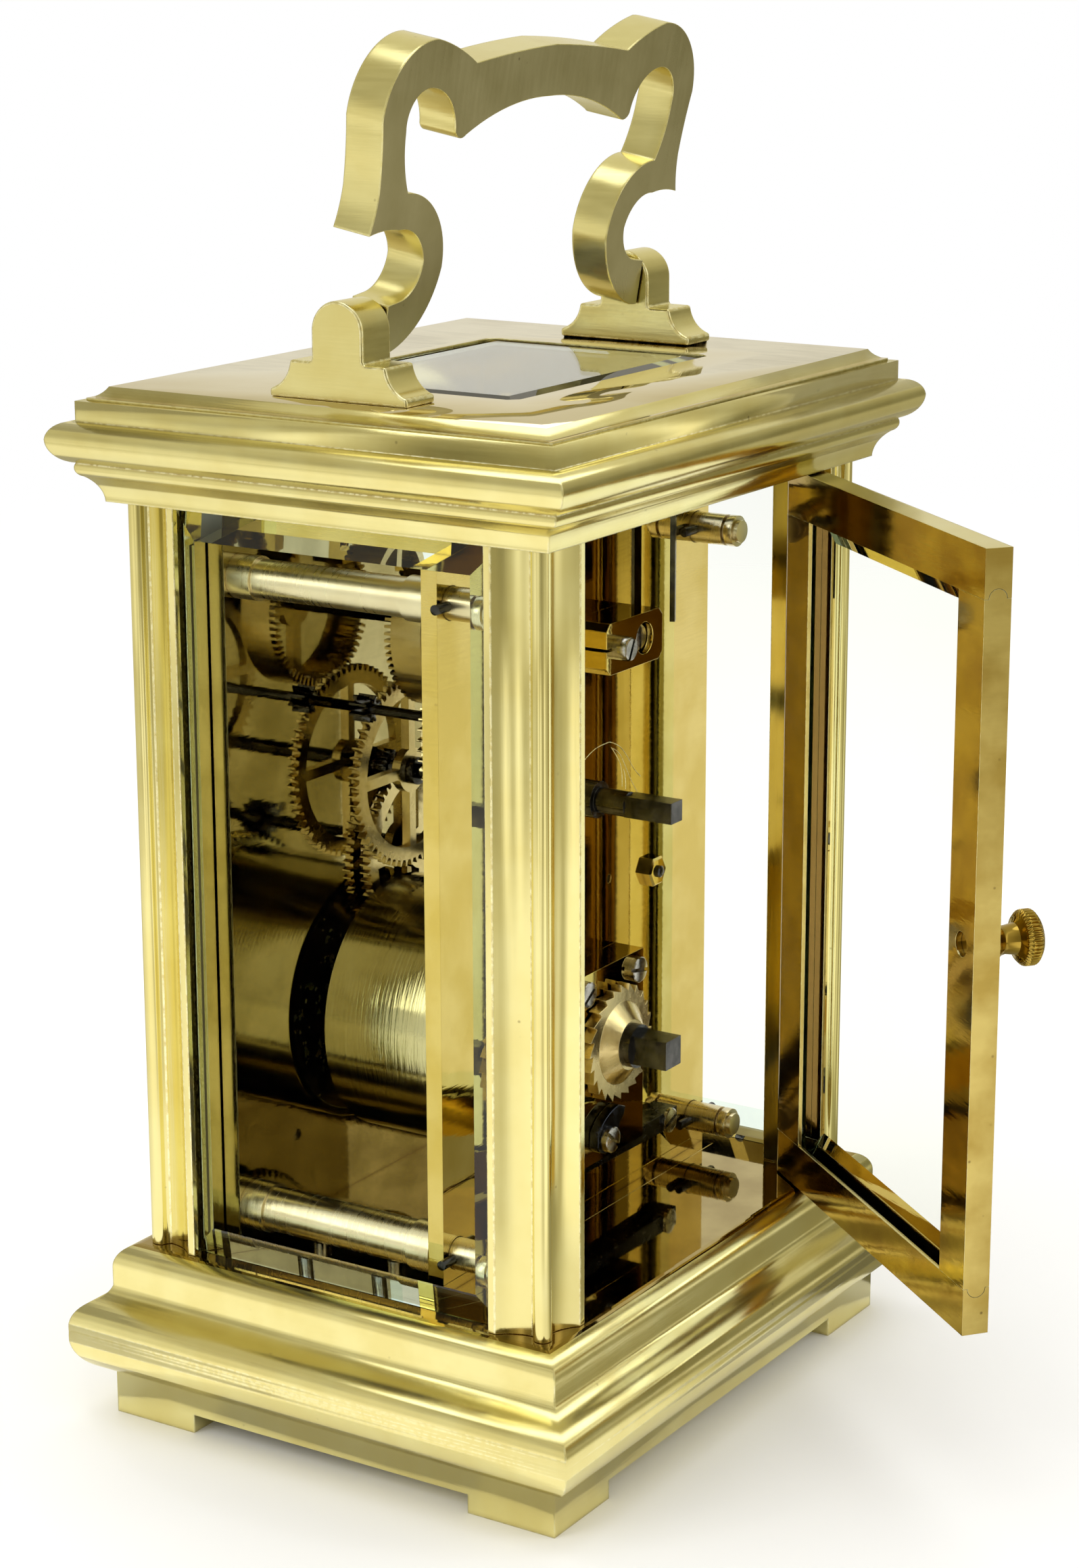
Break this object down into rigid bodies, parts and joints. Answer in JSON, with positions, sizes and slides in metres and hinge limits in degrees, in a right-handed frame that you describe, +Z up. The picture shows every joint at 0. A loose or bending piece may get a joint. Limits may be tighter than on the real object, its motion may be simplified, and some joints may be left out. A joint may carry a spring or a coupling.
{
  "type": "carriage clock",
  "caption": "Brass carriage clock with a folding bail handle, bevelled glass panes, a hinged rear door and a key-wound movement with a platform escapement.",
  "frame": {"origin": "centre of the case's footprint, on the surface that it stands on", "axes": "+Z up, -Y toward the dial, +Y toward the rear door, +X to the right seen from the dial"},
  "size_m": [0.0802, 0.1009, 0.1545],
  "materials": {
    "case_brass": "polished",
    "door_brass": "polished",
    "floor_brass": "satin",
    "plate_brass": "mirror polished",
    "wheel_brass": "polished",
    "glass": "bevelled, clear",
    "steel": "polished",
    "blued_steel": "blued",
    "enamel": "gloss white enamel"
  },
  "bodies": {
    "case": {"base_plinth": "case_brass", "base_floor": "floor_brass", "cornice": "case_brass", "top_plate": "case_brass", "top_glass": "glass", "column_front_left": "case_brass", "column_front_right": "case_brass", "column_rear_left": "case_brass", "column_rear_right": "case_brass", "front_glass": "glass", "left_glass": "glass", "right_glass": "glass", "case_screws": "steel", "lug_left": "case_brass", "lug_right": "case_brass", "handle_pins": "steel", "front_plate": "plate_brass", "back_plate": "plate_brass", "pillars": "plate_brass", "pillar_pins": "steel", "movement_screws": "steel", "contrate_block": "plate_brass", "barrel_bridge": "plate_brass", "click_spring": "blued_steel", "platform": "plate_brass", "platform_cocks": "plate_brass", "hairspring": "blued_steel", "dial": "enamel"},
    "handle": {"handle": "case_brass"},
    "door": {"door_top_rail": "door_brass", "door_bottom_rail": "door_brass", "door_hinge_stile": "door_brass", "door_free_stile": "door_brass", "door_glass": "glass", "door_knob": "door_brass", "door_pins": "steel"},
    "barrel": {"barrel_drum": "wheel_brass", "barrel_cap": "wheel_brass", "mainspring": "steel"},
    "winding": {"barrel_arbor": "steel", "ratchet_wheel": "wheel_brass"},
    "click": {"click": "blued_steel"},
    "intermediate": {"intermediate_wheel": "wheel_brass", "intermediate_arbor": "steel"},
    "centre": {"centre_wheel": "wheel_brass", "centre_arbor": "steel", "cannon_pinion": "wheel_brass", "minute_hand": "blued_steel"},
    "third": {"third_wheel": "wheel_brass", "third_arbor": "steel"},
    "contrate": {"contrate_wheel": "wheel_brass", "contrate_arbor": "steel"},
    "escape": {"escape_wheel": "wheel_brass", "escape_arbor": "steel"},
    "lever": {"pallet_lever": "steel"},
    "balance": {"balance_wheel": "wheel_brass"},
    "regulator": {"regulator_index": "steel"},
    "minute_work": {"minute_wheel": "wheel_brass"},
    "hour": {"hour_wheel": "wheel_brass", "hour_hand": "blued_steel"}
  },
  "joints": [
    {"name": "handle_swing", "type": "hinge", "parent": "case", "child": "handle", "pos_m": [0, 0, 0.12455], "axis": [1, 0, 0], "range_deg": [-80, 100]},
    {"name": "door_swing", "type": "hinge", "parent": "case", "child": "door", "pos_m": [-0.02467, 0.0242, 0.062], "axis": [0, 0, 1], "range_deg": [-51, 41]},
    {"name": "winding_turn", "type": "hinge", "parent": "case", "child": "winding", "pos_m": [0, 0.005, 0.042], "axis": [0, 1, 0], "continuous": true},
    {"name": "click_lift", "type": "hinge", "parent": "case", "child": "click", "pos_m": [0.0025, 0.0146, 0.0312], "axis": [0, 1, 0], "range_deg": [-12, 0], "stiffness_Nm_per_rad": 0.0002, "springref_deg": 11.46},
    {"name": "contrate_turn", "type": "hinge", "parent": "case", "child": "contrate", "pos_m": [0, -0.005, 0.08764], "axis": [0, 1, 0], "continuous": true},
    {"name": "escape_turn", "type": "hinge", "parent": "case", "child": "escape", "pos_m": [0, -0.01039, 0.1], "axis": [0, 0, 1], "continuous": true},
    {"name": "third_turn", "type": "hinge", "parent": "case", "child": "third", "pos_m": [0.0085, -0.005, 0.07899], "axis": [0, 1, 0], "continuous": true},
    {"name": "centre_turn", "type": "hinge", "parent": "case", "child": "centre", "pos_m": [0, -0.005, 0.07], "axis": [0, 1, 0], "continuous": true},
    {"name": "intermediate_turn", "type": "hinge", "parent": "case", "child": "intermediate", "pos_m": [-0.00606, -0.005, 0.05895], "axis": [0, 1, 0], "continuous": true},
    {"name": "barrel_turn", "type": "hinge", "parent": "case", "child": "barrel", "pos_m": [0, -0.005, 0.042], "axis": [0, 1, 0], "continuous": true},
    {"name": "minute_work_turn", "type": "hinge", "parent": "case", "child": "minute_work", "pos_m": [-0.00424, -0.0203, 0.06576], "axis": [0, 1, 0], "continuous": true},
    {"name": "hour_turn", "type": "hinge", "parent": "case", "child": "hour", "pos_m": [0, -0.021, 0.07], "axis": [0, 1, 0], "continuous": true},
    {"name": "lever_rock", "type": "hinge", "parent": "case", "child": "lever", "pos_m": [-0.00331, -0.00832, 0.104], "axis": [0, 0, 1], "range_deg": [-5, 5]},
    {"name": "balance_swing", "type": "hinge", "parent": "case", "child": "balance", "pos_m": [-0.00865, -0.00498, 0.107], "axis": [0, 0, 1], "range_deg": [-220, 220]},
    {"name": "regulator_set", "type": "hinge", "parent": "case", "child": "regulator", "pos_m": [-0.00865, -0.00498, 0.1109], "axis": [0, 0, 1], "range_deg": [-10, 10]}
  ],
  "couplings": [
    {"joint": "escape_turn", "follows": "contrate_turn", "ratio": -10},
    {"joint": "third_turn", "follows": "contrate_turn", "ratio": -0.13333},
    {"joint": "centre_turn", "follows": "contrate_turn", "ratio": 0.016667},
    {"joint": "intermediate_turn", "follows": "contrate_turn", "ratio": -0.0027778},
    {"joint": "barrel_turn", "follows": "contrate_turn", "ratio": 0.00034722},
    {"joint": "minute_work_turn", "follows": "contrate_turn", "ratio": -0.0055556},
    {"joint": "hour_turn", "follows": "contrate_turn", "ratio": 0.0013889}
  ]
}
